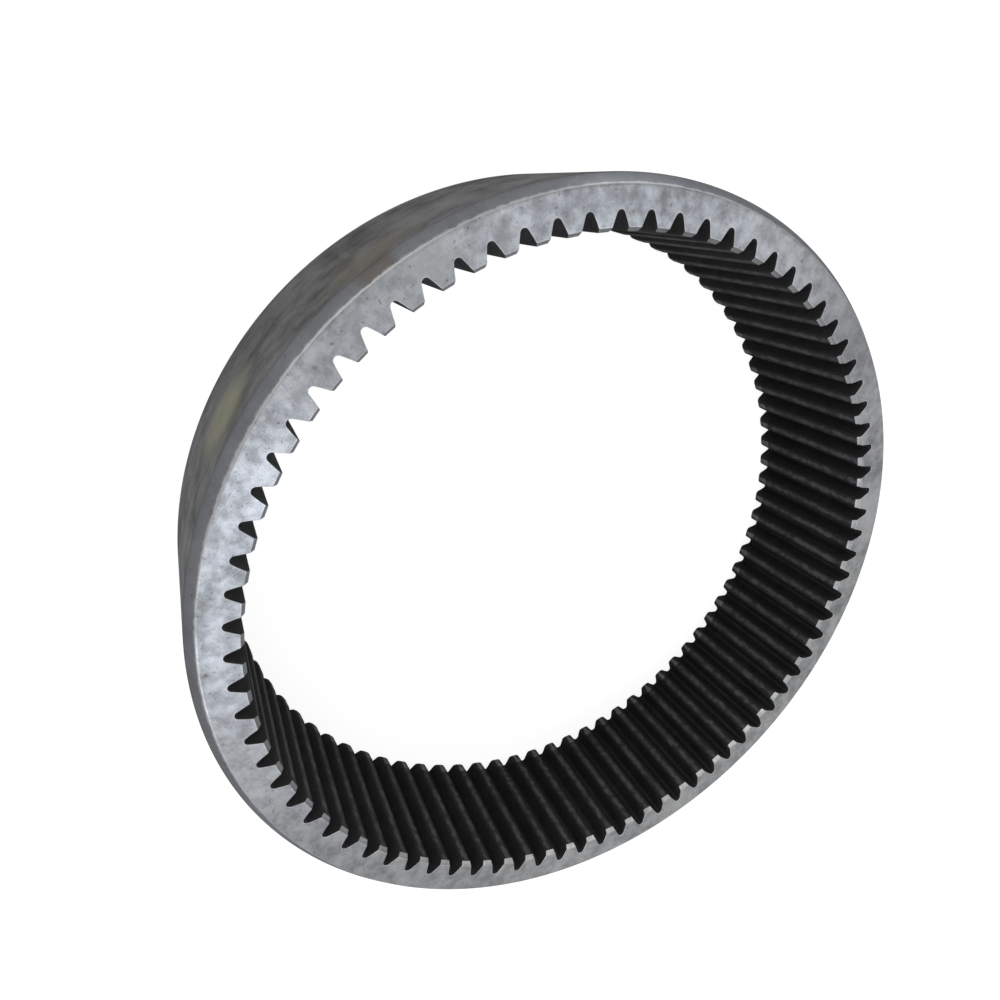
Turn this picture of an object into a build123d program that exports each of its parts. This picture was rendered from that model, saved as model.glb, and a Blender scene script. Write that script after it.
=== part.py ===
from build123d import *
from math import acos, cos, pi, radians, sin, tan
import os

# Internal ring gear of a planetary hub reduction.  It is one steel ring: a turned rim with
# straight involute teeth shaped into its bore from end face to end face.
#
# Frame: millimetres, +Z along the gear axis.  The origin is the centre of the rear end face,
# on which the ring lies, and the front end face, with the lead-in chamfer, looks up.

# ---- teeth ----
module = 4.0               # pitch diameter over tooth count
tooth_count = 78
pressure_angle = 20.0      # degrees, at the pitch circle
addendum_factor = 0.575    # tooth height inside the pitch circle, in modules: short, bored tips
dedendum_factor = 1.3      # gap depth outside the pitch circle, in modules
root_rise_factor = 0.19    # height of the rounded bottom of a gap, in modules
backlash = 0.1             # extra width of each gap at the pitch circle

# ---- rim ----
face_width = 76.0          # end face to end face, and the length of the teeth
rim_thickness = 12.3       # from the bottom of a gap to the outer cylinder
lead_in_depth = 3.75       # chamfer at the front of the outer cylinder: its leg on the end face
lead_in_height = 4.5       # the same chamfer: its leg on the outer cylinder
rear_edge_chamfer = 1.0    # equal-leg chamfer at the rear of the outer cylinder
tip_chamfer_depth = 1.5    # chamfer at the front of the tooth tips: its leg on the end face
tip_chamfer_height = 2.0   # the same chamfer: its leg on the tooth tips
rear_taper_length = 7.7    # at the rear the tips are turned to a slight taper before the chamfer
rear_taper_depth = 0.5     # how much of the tips the taper has taken away where the chamfer starts

# ---- circles that follow from the values above ----
pitch_radius = module * tooth_count / 2
base_radius = pitch_radius * cos(radians(pressure_angle))
tip_radius = pitch_radius - addendum_factor * module
root_radius = pitch_radius + dedendum_factor * module
outer_radius = root_radius + rim_thickness
bore_mouth_radius = tip_radius + tip_chamfer_depth
rear_tip_radius = tip_radius + rear_taper_depth
rear_chamfer_share = (bore_mouth_radius - rear_tip_radius) / tip_chamfer_depth
tooth_angle = 360 / tooth_count
cut_overrun = module / 2   # how far a gap cutter stands past the ring and into the bore


def involute(angle):
    """Involute function of an angle in radians."""
    return tan(angle) - angle


def flank_pressure_angle(radius):
    """Pressure angle of the flank, in radians, where it crosses this radius."""
    return acos(min(1.0, base_radius / radius))


def gap_half_angle(radius):
    """Half of the angle, in radians, that one tooth gap takes up at this radius."""
    at_pitch = pi / (2 * tooth_count) + backlash / (2 * pitch_radius)
    spread = involute(radians(pressure_angle)) - involute(flank_pressure_angle(radius))
    return at_pitch + spread


def ring_point(radius, angle):
    """Point at a radius and at an angle in radians from the X axis."""
    return (radius * cos(angle), radius * sin(angle))


def gap_cutter():
    """Solid that fills one tooth gap, centred on the X axis and longer than the ring.

    Each flank is the arc through three points of its involute, which over so short a flank
    keeps within 0.003 mm of it.  The bottom is one arc from flank to flank, as the rounded
    tooth tips of a gear shaping cutter leave it.
    """
    mouth_radius = tip_radius - cut_overrun
    flank_end_radius = root_radius - root_rise_factor * module
    flank_radii = (mouth_radius, (mouth_radius + flank_end_radius) / 2, flank_end_radius)
    upper = [ring_point(radius, gap_half_angle(radius)) for radius in flank_radii]
    lower = [ring_point(radius, -gap_half_angle(radius)) for radius in flank_radii]
    outline = Wire([
        Edge.make_line(lower[0], upper[0]),
        Edge.make_three_point_arc(*upper),
        Edge.make_three_point_arc(upper[-1], (root_radius, 0), lower[-1]),
        Edge.make_three_point_arc(*lower),
    ])
    length = face_width + 2 * cut_overrun
    return Pos(0, 0, -cut_overrun) * extrude(Face(outline), length, dir=(0, 0, 1))


def turned_blank():
    """Rim before the teeth are cut: a turned section, swept once round the axis."""
    section = Polyline(
        (bore_mouth_radius, 0),
        (outer_radius - rear_edge_chamfer, 0),
        (outer_radius, rear_edge_chamfer),
        (outer_radius, face_width - lead_in_height),
        (outer_radius - lead_in_depth, face_width),
        (bore_mouth_radius, face_width),
        (tip_radius, face_width - tip_chamfer_height),
        (tip_radius, rear_taper_length),
        (rear_tip_radius, rear_chamfer_share * tip_chamfer_height),
        close=True,
    )
    return revolve(Plane.XZ * make_face(section), Axis.Z)


def ring_gear():
    """The finished ring: the blank with a gap cut between each two teeth."""
    cutter = gap_cutter()
    gaps = [Rot(0, 0, tooth_angle * index) * cutter for index in range(tooth_count)]
    return turned_blank() - gaps


os.makedirs("parts", exist_ok=True)
ring = ring_gear()
ring.label = "ring_gear"
export_step(ring, "parts/ring_gear.step")

print(f"outside diameter {2 * outer_radius:.2f}, tips {2 * tip_radius:.2f}, "
      f"roots {2 * root_radius:.2f}, face width {face_width:.2f}")
print(f"volume {ring.volume / 1000:.1f} cm3, {len(ring.solids())} solid, valid {ring.is_valid}")
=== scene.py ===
import bpy
import numpy as np
from mathutils import Matrix, Vector


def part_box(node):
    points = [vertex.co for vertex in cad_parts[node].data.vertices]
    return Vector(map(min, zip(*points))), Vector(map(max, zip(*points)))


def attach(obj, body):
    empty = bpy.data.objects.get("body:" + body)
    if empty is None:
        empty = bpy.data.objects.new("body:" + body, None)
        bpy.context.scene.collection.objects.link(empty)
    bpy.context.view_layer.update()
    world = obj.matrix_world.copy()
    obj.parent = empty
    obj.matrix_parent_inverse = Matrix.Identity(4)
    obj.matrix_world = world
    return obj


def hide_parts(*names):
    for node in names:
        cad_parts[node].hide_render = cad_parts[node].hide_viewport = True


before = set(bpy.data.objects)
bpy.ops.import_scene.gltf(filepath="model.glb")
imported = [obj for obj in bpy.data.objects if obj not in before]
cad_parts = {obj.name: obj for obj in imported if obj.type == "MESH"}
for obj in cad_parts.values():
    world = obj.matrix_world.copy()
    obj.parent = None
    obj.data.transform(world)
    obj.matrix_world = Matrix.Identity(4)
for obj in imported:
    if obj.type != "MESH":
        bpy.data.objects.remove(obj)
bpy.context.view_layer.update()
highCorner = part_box("ring_gear")[1]
outerRadius, faceWidth = highCorner.x, highCorner.z
print(f"frame loaded, ring gear {2 * outerRadius:.3f} m across, {faceWidth:.3f} m wide")


ringGear = {                     # lengths in metres
    "module": 0.004,
    "toothCount": 78,
    "pressureAngle": 20.0,       # degrees
    "tipShort": 0.0023,          # pitch circle to the tooth tips
    "gapDeep": 0.0052,           # pitch circle to the gap bottoms
    "bottomRise": 0.00076,       # height of the rounded bottom of a gap
    "backlash": 0.0001,
    "leadInDepth": 0.00375,      # front chamfer of the rim, leg on the end face
    "leadInHeight": 0.0045,      # front chamfer of the rim, leg on the cylinder
    "rearChamfer": 0.001,        # rear chamfer of the rim, both legs
    "tipChamferDepth": 0.0015,   # front chamfer of the tips, leg on the end face
    "tipChamferHeight": 0.002,   # front chamfer of the tips, leg along the tooth
    "taperLength": 0.0077,       # the tips taper away towards the rear end
    "taperDepth": 0.0005,
    "toothEdge": 0.00018,        # radius that breaks the edges of the teeth at both ends
    "tipCorner": 0.00022,        # how far the corners of the tips are cut back
    "rearCorner": 0.0014,        # the same at the rear end, where they are rounder
    "rimEdge": 0.0009,           # how far the edges of the rim are cut back
    "crease": 0.00012,           # half width of the softened creases on the tips
    "lastFlank": 0.0018,         # last step of the mesh down a flank, over any corner cut
    "gatherGap": 0.0008,         # from the gap bottoms to the first full circle of the mesh
    "gatherLeft": 0.4,           # unevenness left in the columns half way across the face
}


def polar(radius, angle):
    return radius * np.exp(1j * angle)


def involute(angle):
    return np.tan(angle) - angle


def cutCorner(before, corner, after, cut, steps):
    # curve over a corner of a flat outline: (1-t)^2 a + 2t(1-t) corner + t^2 b,
    # where a and b lie the cut distance away from the corner along its two sides
    a, b = (corner + cut * (p - corner) / abs(p - corner) for p in (before, after))
    t = np.linspace(0, 1, steps + 1)
    return (1 - t) ** 2 * a + 2 * t * (1 - t) * corner + t ** 2 * b


def boreOutline(v, tipRadius, tipCorner):
    # the bore at one height as x + iy, for teeth whose tips reach this radius.  One pitch runs
    # from the middle of a gap: an arc for the gap's bottom, then the involute flank, with the
    # half angle g(r) = pi/2N + b/2R + inv(a0) - inv(acos(R cos(a0) / r)) for backlash b and
    # pitch radius R, then the tip circle.  The other half is its mirror image, and N turns of
    # it close the ring.
    pitchRadius = v["module"] * v["toothCount"] / 2
    rootRadius = pitchRadius + v["gapDeep"]
    flankEnd = rootRadius - v["bottomRise"]
    slope = np.radians(v["pressureAngle"])
    half = np.pi / v["toothCount"]

    def gapHalfAngle(radius):
        here = np.arccos(pitchRadius * np.cos(slope) / radius)
        return half / 2 + v["backlash"] / (2 * pitchRadius) + involute(slope) - involute(here)

    end = polar(flankEnd, gapHalfAngle(flankEnd))
    rise = rootRadius - end.real
    bottomRadius = (end.imag ** 2 + rise ** 2) / (2 * rise)
    bottomAngles = np.linspace(0, np.arcsin(end.imag / bottomRadius), num=4)
    bottom = rootRadius - bottomRadius + polar(bottomRadius, bottomAngles)
    radii = np.append(np.linspace(flankEnd, tipRadius + v["lastFlank"], num=5), tipRadius)
    flank = polar(radii, gapHalfAngle(radii))
    corner = cutCorner(flank[-2], flank[-1], polar(tipRadius, half), tipCorner, steps=2)
    land = polar(tipRadius, np.linspace(np.angle(corner[-1]), half, num=3))
    firstHalf = np.concatenate([bottom, flank[1:-1], corner, land[1:]])
    mirrored = np.conj(firstHalf[1:-1])[::-1] * polar(1, 2 * half)
    turns = polar(1, 2 * half * np.arange(v["toothCount"]))
    return (turns[:, None] * np.concatenate([firstHalf, mirrored])).ravel()


def rearBevelHeight(v):
    # how far up from the rear end the bevel of the tips runs before it meets their taper
    return (v["tipChamferDepth"] - v["taperDepth"]) * v["tipChamferHeight"] / v["tipChamferDepth"]


def tipRadiusAt(v, height, z):
    # bored radius, plus slope times ramp for each cut, where the ramp of a distance x past the
    # start of the cut is (x + sqrt(x^2 + w^2)) / 2: front chamfer, rear taper, rear bevel
    def ramp(x):
        return (x + np.sqrt(x ** 2 + v["crease"] ** 2)) / 2

    bored = v["module"] * v["toothCount"] / 2 - v["tipShort"]
    bevelSlope = v["tipChamferDepth"] / v["tipChamferHeight"]
    bevelHeight = rearBevelHeight(v)
    taperSlope = v["taperDepth"] / (v["taperLength"] - bevelHeight)
    front = bevelSlope * ramp(z - height + v["tipChamferHeight"])
    taper = taperSlope * ramp(v["taperLength"] - z)
    return bored + front + (taper + (bevelSlope - taperSlope) * ramp(bevelHeight - z))


def wallRows(v, height):
    # grid rows up the bore wall, each the bore outline at its own height, three at each crease
    # and two on the plain stretch.  The corner cuts grow towards the rear end.
    crease = 2 * v["crease"] * np.array([-1, 0, 1])
    levels = np.concatenate([
        [v["toothEdge"]], rearBevelHeight(v) + crease, v["taperLength"] + crease,
        [0.3 * height, 0.6 * height],
        height - v["tipChamferHeight"] + crease, [height - v["toothEdge"]]])
    growth = np.clip(1 - levels / v["taperLength"], 0, 1)
    cuts = v["tipCorner"] + growth * (v["rearCorner"] - v["tipCorner"])
    rows = [boreOutline(v, tipRadiusAt(v, height, z), cut) for z, cut in zip(levels, cuts)]
    return np.array(rows), levels


def endRows(v, wall, chamferDepth, chamferHeight, outerRadius):
    # grid rows over one end, from the end of the bore wall to the cylinder, with their depth
    # below the end plane, their distance to the nearest edge, and the numbers of the rows on
    # the two edges of the rim's chamfer
    edge = v["toothEdge"]
    ahead = np.roll(wall, -1) - wall
    ahead = ahead / abs(ahead)
    mean = ahead + np.roll(ahead, 1)
    intoMetal = -1j * mean / abs(mean)
    # a quarter circle breaks the edge of the teeth: at the angle a it is e (1 - cos a) into
    # the metal and e (1 - sin a) below the plane
    turn = np.radians([30, 60, 90])[:, None]
    broken = wall + intoMetal * edge * (1 - np.cos(turn))
    brokenDepths = edge * (1 - np.sin(turn[:, 0]))

    # the columns run outwards over the flat face and even out: a row close by the teeth that
    # keeps the face's shading flat, then three circles
    even = 2 * np.pi * np.arange(len(wall)) / len(wall)
    start = broken[-1]
    lag = np.angle(start / polar(1, even))
    gather = v["module"] * v["toothCount"] / 2 + v["gapDeep"] + v["gatherGap"]
    rimInner = outerRadius - chamferDepth
    inner = rimInner - 2 * v["rimEdge"]
    flat = np.array([
        start * (1 + edge / 3 / abs(start)),
        polar(gather, even + lag),
        polar((gather + inner) / 2, even + v["gatherLeft"] * lag),
        polar(inner, even)])

    # the rim's section as radius + i depth, with both corners of its chamfer cut
    cylinder = outerRadius + 1j * chamferHeight
    faceCorner = cutCorner(inner, rimInner, cylinder, v["rimEdge"], steps=4)
    rimCorner = cutCorner(rimInner, cylinder, cylinder + 1j, v["rimEdge"], steps=4)
    section = np.concatenate([faceCorner, rimCorner, rimCorner[-1:] + 1j * v["rimEdge"]])
    rows = np.concatenate([broken, flat, polar(section.real[:, None], even)])
    depths = np.concatenate([brokenDepths, np.zeros(len(flat)), section.imag])

    faceEdge = faceCorner[len(faceCorner) // 2]
    flatDistances = np.minimum(abs(flat - start), abs(faceEdge.real - abs(flat)))
    sectionDistances = np.tile(abs(section - faceEdge)[:, None], len(wall))
    distances = np.concatenate([np.zeros(broken.shape), flatDistances, sectionDistances])
    faceEdgeRow = len(broken) + len(flat) + len(faceCorner) // 2
    rimEdgeRow = len(broken) + len(flat) + len(faceCorner) + len(rimCorner) // 2
    return rows, depths, distances, (faceEdgeRow, rimEdgeRow)


def gridMesh(name, rows, levels):
    # closed grid: the last row joins the first and the last column joins the first.  The
    # corners of each face are in the order that makes it look outward.
    rowCount, columnCount = rows.shape
    heights = np.broadcast_to(levels[:, None], rows.shape)
    points = np.stack([rows.real, rows.imag, heights], axis=-1).reshape(-1, 3)
    row, column = np.meshgrid(np.arange(rowCount), np.arange(columnCount), indexing="ij")
    below, beside = (row + 1) % rowCount, (column + 1) % columnCount
    corners = [row * columnCount + column, below * columnCount + column,
               below * columnCount + beside, row * columnCount + beside]
    quads = np.stack(corners, axis=-1).reshape(-1, 4)
    mesh = bpy.data.meshes.new(name)
    mesh.from_pydata(points, [], quads.tolist())
    mesh.shade_smooth()
    return mesh


wall, wallLevels = wallRows(ringGear, faceWidth)
front, frontDepths, frontDistances, frontChamfer = endRows(
    ringGear, wall[-1], ringGear["leadInDepth"], ringGear["leadInHeight"], outerRadius)
rear, rearDepths, rearDistances, rearChamfer = endRows(
    ringGear, wall[0], ringGear["rearChamfer"], ringGear["rearChamfer"], outerRadius)
middle = (front[-1:] + rear[-1:]) / 2
rows = np.concatenate([wall, front, middle, rear[::-1]])
levels = np.concatenate([wallLevels, faceWidth - frontDepths, [faceWidth / 2], rearDepths[::-1]])
bodyMesh = gridMesh("ringGearBody", rows, levels)
print("ring mesh:", rows.shape[0], "rows,", rows.shape[1], "columns,", 2 * rows.size, "triangles")

# the finish of each face, by the first and last of its grid rows and by whether it lies on a
# tooth tip; a later line goes over an earlier one
plainRow = wall[np.argmin(abs(wallLevels - faceWidth / 2))]
onTip = abs(plainRow) < abs(plainRow).min() + ringGear["tipCorner"] / 2
onTipFace = onTip & np.roll(onTip, -1)
anyFace = np.ones(rows.shape[1], dtype=bool)
wallTop = len(wall) - 1
tipCreases = [ringGear["taperLength"], faceWidth - ringGear["tipChamferHeight"]]
taperTop, bevelStart = np.searchsorted(wallLevels, tipCreases)
frontFaceEdge, frontRimEdge = (len(wall) + row for row in frontChamfer)
rearFaceEdge, rearRimEdge = (len(rows) - 1 - row for row in rearChamfer)
finishNames = ["turnedFace", "leadInChamfer", "turnedRim", "oiledTeeth",
               "boredTips", "tipChamfers", "rearTips"]
finish = np.zeros(rows.shape, dtype=np.int32)
for finishName, firstRow, lastRow, where in [
        ("turnedFace", 0, len(rows), anyFace),
        ("leadInChamfer", frontFaceEdge, frontRimEdge, anyFace),
        ("turnedRim", frontRimEdge, rearRimEdge, anyFace),
        ("leadInChamfer", rearRimEdge, rearFaceEdge, anyFace),
        ("oiledTeeth", 0, wallTop, anyFace),
        ("rearTips", 0, taperTop, onTipFace),
        ("boredTips", taperTop, bevelStart, onTipFace),
        ("tipChamfers", bevelStart, wallTop, onTipFace)]:
    finish[firstRow:lastRow, where] = finishNames.index(finishName)
bodyMesh.polygons.foreach_set("material_index", finish.ravel())

# the distance of each point to the nearest edge, for the wear and for the painted highlight and
# painted shade along edges
atCorner = onTip & ~(np.roll(onTip, 1) & np.roll(onTip, -1))
onePitch = slice(rows.shape[1] // ringGear["toothCount"])
pitch = plainRow[onePitch]
corners = pitch[atCorner[onePitch]]
toCorner = np.tile(abs(pitch[:, None] - corners).min(axis=1), ringGear["toothCount"])
toEnd = np.minimum(wallLevels, faceWidth - wallLevels)
wallDistances = np.minimum(toCorner[None, :], toEnd[:, None])
middleDistances = np.full(middle.shape, faceWidth / 2)
distances = np.concatenate(
    [wallDistances, frontDistances, middleDistances, rearDistances[::-1]])
edgeDistance = bodyMesh.attributes.new("edgeDistance", "FLOAT", "POINT")
edgeDistance.data.foreach_set("value", distances.ravel().astype(np.float32))

ringPiece = bpy.data.objects.new("ringGearBody", bodyMesh)
bpy.context.collection.objects.link(ringPiece)
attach(ringPiece, "root")
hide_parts("ring_gear")


def addNode(tree, kind, values, **settings):
    # a node with its settings, and its inputs either linked or set
    node = tree.nodes.new(kind)
    for key, value in settings.items():
        setattr(node, key, value)
    for key, value in values.items():
        if isinstance(value, bpy.types.NodeSocket):
            tree.links.new(value, node.inputs[key])
        else:
            node.inputs[key].default_value = value
    return node


def calculate(tree, operation, first, second=0.0):
    return addNode(tree, "ShaderNodeMath", {0: first, 1: second}, operation=operation).outputs[0]


def opposite(tree, value):
    return calculate(tree, "SUBTRACT", 1.0, value)


def mapRange(tree, value, low, high, toLow=0.0, toHigh=1.0):
    values = {"Value": value, "From Min": low, "From Max": high, "To Min": toLow, "To Max": toHigh}
    return addNode(tree, "ShaderNodeMapRange", values, interpolation_type="SMOOTHSTEP").outputs[0]


def mixColour(tree, factor, first, second):
    # each colour is a socket or three numbers; 6, 7 and 2 are the node's colour sockets
    first, second = (colour if isinstance(colour, bpy.types.NodeSocket) else (*colour, 1)
                     for colour in (first, second))
    return addNode(tree, "ShaderNodeMix", {0: factor, 6: first, 7: second},
                   data_type="RGBA").outputs[2]


def combine(tree, x, y, z):
    return addNode(tree, "ShaderNodeCombineXYZ", {0: x, 1: y, 2: z}).outputs[0]


def stretchedNoise(tree, vector, lengths, detail, roughness):
    # noise whose patches are about this long in each direction
    place = addNode(tree, "ShaderNodeVectorMath", {0: vector, 1: combine(tree, *lengths)},
                    operation="DIVIDE").outputs[0]
    values = {"Vector": place, "Scale": 1.0, "Detail": detail, "Roughness": roughness}
    return addNode(tree, "ShaderNodeTexNoise", values).outputs[0]


def evenNoise(tree, vector, size, detail, roughness):
    return stretchedNoise(tree, vector, (size, size, size), detail, roughness)


def rarePeaks(tree, value, amount, start=0.78, full=0.8):
    # the highest peaks of a noise; a larger amount lets lower ones through
    return mapRange(tree, value, low=calculate(tree, "SUBTRACT", start, amount), high=full)


def effectGroup(name, inputs, build):
    # a node group with named inputs, whose one output is what build makes of them
    group = bpy.data.node_groups.new(name, "ShaderNodeTree")
    group.interface.new_socket("Vector", in_out="INPUT", socket_type="NodeSocketVector")
    for inputName, value in inputs.items():
        socket = group.interface.new_socket(
            inputName, in_out="INPUT", socket_type="NodeSocketFloat")
        socket.default_value = value
    group.interface.new_socket("Value", in_out="OUTPUT", socket_type="NodeSocketFloat")
    source = group.nodes.new("NodeGroupInput").outputs
    result = group.nodes.new("NodeGroupOutput")
    group.links.new(build(group, source), result.inputs["Value"])
    return group


def buildBlotch(tree, source):
    # a soft-edged patch round one place
    place = combine(tree, source["X"], source["Y"], source["Z"])
    away = addNode(tree, "ShaderNodeVectorMath", {0: source["Vector"], 1: place},
                   operation="DISTANCE").outputs["Value"]
    ragged = evenNoise(tree, source["Vector"], size=0.012, detail=4.0, roughness=0.6)
    share = calculate(tree, "ADD", calculate(tree, "DIVIDE", away, source["Reach"]), ragged)
    return opposite(tree, mapRange(tree, share, low=0.8, high=1.5))


def buildMottling(tree, source):
    cloud = evenNoise(tree, source["Vector"], source["Size"], detail=7.0, roughness=0.67)
    return mapRange(tree, cloud, low=0.32, high=0.68)


def buildTurningLines(tree, source):
    # a noise that runs outwards over a flat face, where flat is 1, and along a cylinder
    parts = addNode(tree, "ShaderNodeSeparateXYZ", {0: source["Vector"]}).outputs
    squares = [calculate(tree, "POWER", part, 2.0) for part in (parts[0], parts[1])]
    radius = calculate(tree, "SQRT", calculate(tree, "ADD", *squares))
    outward = calculate(tree, "MULTIPLY", radius, source["Flat"])
    place = calculate(tree, "ADD", outward, parts[2])
    values = {"W": calculate(tree, "DIVIDE", place, source["Spacing"]), "Scale": 1.0, "Detail": 2.0}
    return addNode(tree, "ShaderNodeTexNoise", values, noise_dimensions="1D").outputs[0]


def buildStreaks(tree, source):
    # streaks that run round the ring
    lengths = (source["Length"], source["Length"], source["Width"])
    streak = stretchedNoise(tree, source["Vector"], lengths, detail=4.0, roughness=0.6)
    return mapRange(tree, streak, low=0.35, high=0.65)


def buildScratches(tree, source):
    # thin straight lines in one direction, at an angle round the axis
    turned = addNode(tree, "ShaderNodeVectorRotate",
                     {"Vector": source["Vector"], "Angle": source["Angle"]},
                     rotation_type="Z_AXIS").outputs[0]
    lengths = (source["Length"], source["Width"], source["Length"])
    line = stretchedNoise(tree, turned, lengths, detail=1.0, roughness=0.5)
    return rarePeaks(tree, line, source["Amount"])


def buildSpecks(tree, source):
    dots = evenNoise(tree, source["Vector"], source["Size"], detail=2.0, roughness=0.5)
    return rarePeaks(tree, dots, source["Amount"])


# a band along edges in the edge colour: wear, a painted highlight along the front edge of the
# lead-in chamfer, and painted shade on the bored and rear tips
def buildEdgeWearAndPaintedLight(tree, source):
    # full at the edge, gone at a width that wanders along it
    wander = evenNoise(tree, source["Vector"], size=0.004, detail=3.0, roughness=0.6)
    wandering = mapRange(tree, wander, low=0.3, high=0.7, toLow=0.35, toHigh=1.7)
    width = calculate(tree, "MULTIPLY", source["Width"], wandering)
    share = calculate(tree, "DIVIDE", source["Distance"], width)
    return opposite(tree, mapRange(tree, share, low=0.2, high=1.0))


effects = {
    "blotch": effectGroup("blotch", {"X": 0.0, "Y": 0.0, "Z": 0.0, "Reach": 0.03}, buildBlotch),
    "mottling": effectGroup("mottling", {"Size": 0.01}, buildMottling),
    "turningLines": effectGroup(
        "turningLines", {"Spacing": 0.0005, "Flat": 1.0}, buildTurningLines),
    "streaks": effectGroup("streaks", {"Length": 0.1, "Width": 0.004}, buildStreaks),
    "scratches": effectGroup(
        "scratches", {"Angle": 0.0, "Length": 0.05, "Width": 0.0005, "Amount": 0.05},
        buildScratches),
    "specks": effectGroup("specks", {"Size": 0.001, "Amount": 0.05}, buildSpecks),
    "edgeWearAndPaintedLight": effectGroup("edgeWearAndPaintedLight", {"Distance": 1.0, "Width": 0.0004}, buildEdgeWearAndPaintedLight),
}
print("shared effects:", len(effects))

# the marks that every finish shares: lengths in metres, angles in radians, and a share is how
# much of a mark's colour shows
marks = {
    "streaks": {"Length": 0.09, "Width": 0.012},
    "scratches": [{"Angle": 0.6, "Length": 0.05, "Width": 0.0006},
                  {"Angle": 2.1, "Length": 0.03, "Width": 0.0005}],
    "scratchShare": 0.2,
    "speckSize": 0.0016,
    "speckShare": 0.7,
    "speckTone": 0.45,           # colour of the specks, as a share of the dark colour
    "mottleRelief": 2.0,         # height of the fine mottling against that of the lines
}

# dark and light are the ends of the tone, which is mixed from clouds, fine mottling and
# streaks: fine and streak are their shares, and clouds have the rest.  The colour at edges and
# in scratches is wear on the face, rim and tip chamfers, and a slight lightening at the edges
# of the oiled teeth; on the lead-in chamfer it is wear and a painted highlight along its front
# edge, and on bored and rear tips it is painted shade that darkens them towards their edges.
# Roughness runs from light to dark, flat is 1 on end faces and 0 on cylinders, lines is the
# spacing of the turning lines, and scratch and speck say how many there are.  A blotch has
# its place, reach, share and colour.
finishes = {
    "turnedFace": {
        "dark": (0.165, 0.168, 0.171), "light": (0.435, 0.438, 0.442), "wearAndPaintedLightColour": (0.60, 0.60, 0.61),
        "metallic": 0.85, "roughness": (0.30, 0.42),
        "cloud": 0.035, "mottle": 0.007, "fine": 0.6, "streak": 0.0,
        "flat": 1.0, "lines": 0.0005, "bump": 0.000025, "scratch": 0.10, "speck": 0.16,
        "wearAndPaintedLightBand": 0.0004, "wearAndPaintedLightShare": 0.3,
        # two lighter blotches, a darker one and a faintly olive one
        "blotches": [((0.083, -0.144, 0.076), 0.026, 0.55, (0.48, 0.49, 0.50)),
                   ((-0.117, -0.117, 0.076), 0.022, 0.45, (0.46, 0.46, 0.46)),
                   ((0.152, -0.066, 0.076), 0.030, 0.40, (0.19, 0.195, 0.20)),
                   ((0.100, 0.134, 0.076), 0.014, 0.50, (0.40, 0.41, 0.38))],
    },
    "leadInChamfer": {
        "dark": (0.165, 0.17, 0.18), "light": (0.285, 0.295, 0.312), "wearAndPaintedLightColour": (0.6, 0.61, 0.63),
        "metallic": 0.8, "roughness": (0.38, 0.52),
        "cloud": 0.03, "mottle": 0.004, "fine": 0.15, "streak": 0.25,
        "flat": 1.0, "lines": 0.0004, "bump": 0.000008, "scratch": 0.08, "speck": 0.13,
        # the light band along the front edge is wear and a painted highlight
        "wearAndPaintedLightBand": 0.0009, "wearAndPaintedLightShare": 0.45,
        "blotches": [((0.088, 0.148, 0.073), 0.010, 0.6, (0.15, 0.12, 0.09))],
    },
    "turnedRim": {
        "dark": (0.055, 0.055, 0.052), "light": (0.38, 0.38, 0.37), "wearAndPaintedLightColour": (0.5, 0.5, 0.5),
        "metallic": 0.55, "roughness": (0.42, 0.58),
        "cloud": 0.035, "mottle": 0.012, "fine": 0.35, "streak": 0.15,
        "flat": 0.0, "lines": 0.0006, "bump": 0.000006, "scratch": 0.06, "speck": 0.12,
        "wearAndPaintedLightBand": 0.0006, "wearAndPaintedLightShare": 0.2,
        "blotches": [((0.022, 0.172, 0.046), 0.022, 0.7, (0.50, 0.48, 0.34)),
                   ((0.090, 0.148, 0.062), 0.022, 0.5, (0.30, 0.24, 0.18))],
    },
    "oiledTeeth": {
        "dark": (0.012, 0.012, 0.012), "light": (0.034, 0.034, 0.032), "wearAndPaintedLightColour": (0.05, 0.05, 0.05),
        "metallic": 0.1, "roughness": (0.45, 0.6),
        "cloud": 0.03, "mottle": 0.006, "fine": 0.5, "streak": 0.0,
        "flat": 0.0, "lines": 0.0008, "bump": 0.000008, "scratch": 0.05, "speck": 0.1,
        "wearAndPaintedLightBand": 0.0004, "wearAndPaintedLightShare": 0.5,
    },
    "boredTips": {
        "dark": (0.048, 0.048, 0.048), "light": (0.115, 0.115, 0.117),
        # painted shade: this near-black darkens the tips towards their edges
        "wearAndPaintedLightColour": (0.010, 0.010, 0.010),
        "metallic": 0.3, "roughness": (0.42, 0.55),
        "cloud": 0.03, "mottle": 0.006, "fine": 0.5, "streak": 0.0,
        "flat": 0.0, "lines": 0.0006, "bump": 0.000008, "scratch": 0.05, "speck": 0.1,
        "wearAndPaintedLightBand": 0.0022, "wearAndPaintedLightShare": 0.9,
    },
    "tipChamfers": {
        "dark": (0.34, 0.345, 0.35), "light": (0.58, 0.585, 0.59), "wearAndPaintedLightColour": (0.6, 0.61, 0.63),
        "metallic": 0.85, "roughness": (0.38, 0.5),
        "cloud": 0.03, "mottle": 0.004, "fine": 0.5, "streak": 0.0,
        "flat": 1.0, "lines": 0.0005, "bump": 0.000008, "scratch": 0.08, "speck": 0.12,
        "wearAndPaintedLightBand": 0.0003, "wearAndPaintedLightShare": 0.2,
    },
    "rearTips": {
        # painted shade: the near-black darkens the rear tips towards their edges, so that they look
        # rounder
        "dark": (0.16, 0.16, 0.16), "light": (0.36, 0.36, 0.36), "wearAndPaintedLightColour": (0.012, 0.012, 0.012),
        "metallic": 0.5, "roughness": (0.4, 0.52),
        "cloud": 0.03, "mottle": 0.004, "fine": 0.5, "streak": 0.0,
        "flat": 0.0, "lines": 0.0006, "bump": 0.000008, "scratch": 0.05, "speck": 0.1,
        "wearAndPaintedLightBand": 0.0014, "wearAndPaintedLightShare": 0.9,
    },
}


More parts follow.
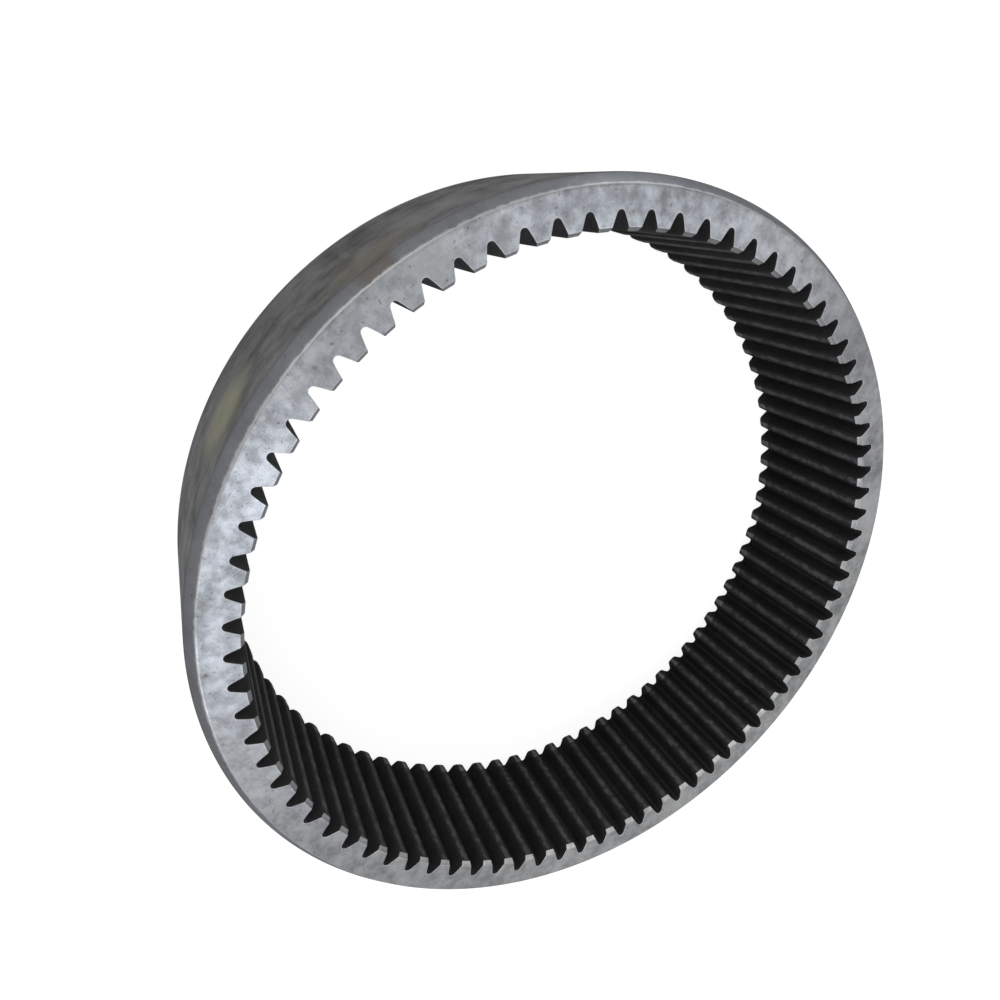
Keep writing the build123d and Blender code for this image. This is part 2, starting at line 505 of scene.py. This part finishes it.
def steelMaterial(name, v):
    steel = bpy.data.materials.new(name)
    steel.use_nodes = True
    tree = steel.node_tree
    shader = tree.nodes["Principled BSDF"]
    spot = tree.nodes.new("ShaderNodeTexCoord").outputs["Object"]
    attribute = addNode(tree, "ShaderNodeAttribute", {}, attribute_name="edgeDistance")

    def effect(effectName, values):
        return addNode(tree, "ShaderNodeGroup", {"Vector": spot, **values},
                       node_tree=effects[effectName]).outputs["Value"]

    cloud = effect("mottling", {"Size": v["cloud"]})
    fine = effect("mottling", {"Size": v["mottle"]})
    streak = effect("streaks", marks["streaks"])
    lines = effect("turningLines", {"Spacing": v["lines"], "Flat": v["flat"]})
    scratches = [effect("scratches", {**one, "Amount": v["scratch"]}) for one in marks["scratches"]]
    specks = effect("specks", {"Size": marks["speckSize"], "Amount": v["speck"]})
    # the band along edges: wear, with a painted highlight on the lead-in chamfer and painted shade
    # on the bored and rear tips
    wearAndPaintedLightBand = effect("edgeWearAndPaintedLight", {"Distance": attribute.outputs["Fac"], "Width": v["wearAndPaintedLightBand"]})

    tone = calculate(tree, "MULTIPLY", cloud, 1 - v["fine"] - v["streak"])
    tone = calculate(tree, "ADD", tone, calculate(tree, "MULTIPLY", fine, v["fine"]))
    tone = calculate(tree, "ADD", tone, calculate(tree, "MULTIPLY", streak, v["streak"]))
    colour = mixColour(tree, tone, v["dark"], v["light"])
    for place, reach, share, blotchColour in v.get("blotches", []):
        blotch = effect("blotch", {"X": place[0], "Y": place[1], "Z": place[2], "Reach": reach})
        colour = mixColour(tree, calculate(tree, "MULTIPLY", blotch, share), colour, blotchColour)
    speckShare = calculate(tree, "MULTIPLY", specks, marks["speckShare"])
    colour = mixColour(tree, speckShare, colour, [marks["speckTone"] * part for part in v["dark"]])
    scratched = calculate(tree, "MAXIMUM", *scratches)
    wearAndPaintedLightAmount = calculate(tree, "MAXIMUM",
                          calculate(tree, "MULTIPLY", scratched, marks["scratchShare"]),
                          calculate(tree, "MULTIPLY", wearAndPaintedLightBand, v["wearAndPaintedLightShare"]))
    # the edge colour over scratches and edges: wear, a painted highlight on the lead-in chamfer,
    # painted shade on the bored and rear tips
    colour = mixColour(tree, wearAndPaintedLightAmount, colour, v["wearAndPaintedLightColour"])
    tree.links.new(colour, shader.inputs["Base Color"])

    smooth, rough = v["roughness"]
    roughness = mapRange(tree, tone, low=0.0, high=1.0, toLow=rough, toHigh=smooth)
    tree.links.new(roughness, shader.inputs["Roughness"])
    mottled = calculate(tree, "MULTIPLY", fine, marks["mottleRelief"])
    relief = calculate(tree, "ADD", lines, mottled)
    bump = addNode(tree, "ShaderNodeBump",
                   {"Height": relief, "Distance": v["bump"], "Strength": 1.0})
    tree.links.new(bump.outputs[0], shader.inputs["Normal"])
    shader.inputs["Metallic"].default_value = v["metallic"]
    return steel


for name in finishNames:
    bodyMesh.materials.append(steelMaterial(name, finishes[name]))
print("finishes:", ", ".join(finishNames))

studio = {
    "worldGrey": (1.0, 1.0, 0.995),
    "worldStrength": 0.7,
    "floorSide": 8.0,
    "floorGap": 0.0001,          # keeps the floor just clear of the ring's rear face
    "floorGlow": 0.86,           # what the camera sees of the floor before any light falls on it
    "floorColour": (0.28, 0.28, 0.28),
    "floorRoughness": 0.9,
    "lights": [                  # towards the light, distance, side (m), radiance, colour
        ((-0.38, -0.09, 0.92), 1.6, 0.60, 2.7, (0.86, 0.94, 1.10)),
        ((0.25, -0.45, 0.86), 1.6, 0.55, 1.8, (0.84, 0.93, 1.12)),
        ((0.38, 0.64, 0.66), 1.8, 0.80, 1.6, (1.0, 1.0, 1.0)),
        ((0.97, -0.05, 0.20), 1.6, 0.80, 1.5, (0.95, 0.98, 1.04)),
        ((-0.62, 0.30, 0.70), 1.6, 0.40, 8.0, (0.90, 0.95, 1.06)),
    ],
}

floorMesh = bpy.data.meshes.new("floor")
half, drop = studio["floorSide"] / 2, -studio["floorGap"]
floorCorners = [(-half, -half, drop), (half, -half, drop), (half, half, drop), (-half, half, drop)]
floorMesh.from_pydata(floorCorners, [], [(0, 1, 2, 3)])
floor = bpy.data.objects.new("floor", floorMesh)
bpy.context.collection.objects.link(floor)
# the floor glows for the camera alone, a little short of white, and light falling on it adds
# the rest, so that only the soft shadow of the ring shows
white = bpy.data.materials.new("whiteFloor")
white.use_nodes = True
tree = white.node_tree
shader = tree.nodes["Principled BSDF"]
seen = tree.nodes.new("ShaderNodeLightPath").outputs["Is Camera Ray"]
glow = calculate(tree, "MULTIPLY", seen, studio["floorGlow"])
tree.links.new(glow, shader.inputs["Emission Strength"])
shader.inputs["Emission Color"].default_value = (1, 1, 1, 1)
shader.inputs["Base Color"].default_value = (*studio["floorColour"], 1)
shader.inputs["Roughness"].default_value = studio["floorRoughness"]
shader.inputs["Specular IOR Level"].default_value = 0
floorMesh.materials.append(white)

# the camera sees the world at full strength, and the ring is lit by less of it
world = bpy.data.worlds.new("studio")
bpy.context.scene.world = world
world.use_nodes = True
tree = world.node_tree
background = tree.nodes["Background"]
background.inputs["Color"].default_value = (*studio["worldGrey"], 1)
seen = tree.nodes.new("ShaderNodeLightPath").outputs["Is Camera Ray"]
strength = calculate(tree, "MAXIMUM", seen, studio["worldStrength"])
tree.links.new(strength, background.inputs["Strength"])

ringMiddle = Vector((0, 0, faceWidth / 2))
for number, (towards, distance, side, radiance, colour) in enumerate(studio["lights"]):
    softbox = bpy.data.lights.new("softbox" + str(number + 1), "AREA")
    softbox.size = side
    softbox.energy = radiance * np.pi * side ** 2
    softbox.color = colour
    holder = bpy.data.objects.new(softbox.name, softbox)
    holder.location = ringMiddle + distance * Vector(towards).normalized()
    holder.rotation_euler = (-Vector(towards)).to_track_quat("-Z", "Y").to_euler()
    bpy.context.collection.objects.link(holder)
print("lights:", len(studio["lights"]))

cameraView = {
    "place": (0.08382, 0.21013, 0.30952),
    "aim": (0.02594, 0.05435, 0.076),
    "roll": 131.15,              # degrees
    "lens": 25.46,               # mm on a 36 mm wide sensor
    "shift": (-0.036, 0.0158),
}
cameraData = bpy.data.cameras.new("camera")
camera = bpy.data.objects.new("camera", cameraData)
bpy.context.collection.objects.link(camera)
direction = Vector(cameraView["aim"]) - Vector(cameraView["place"])
turned = direction.to_track_quat("-Z", "Y").to_matrix().to_4x4()
roll = Matrix.Rotation(np.radians(cameraView["roll"]), 4, "Z")
camera.matrix_world = Matrix.Translation(cameraView["place"]) @ turned @ roll
cameraData.lens = cameraView["lens"]
cameraData.shift_x, cameraData.shift_y = cameraView["shift"]
bpy.context.scene.camera = camera
bpy.context.scene.view_settings.view_transform = "Standard"
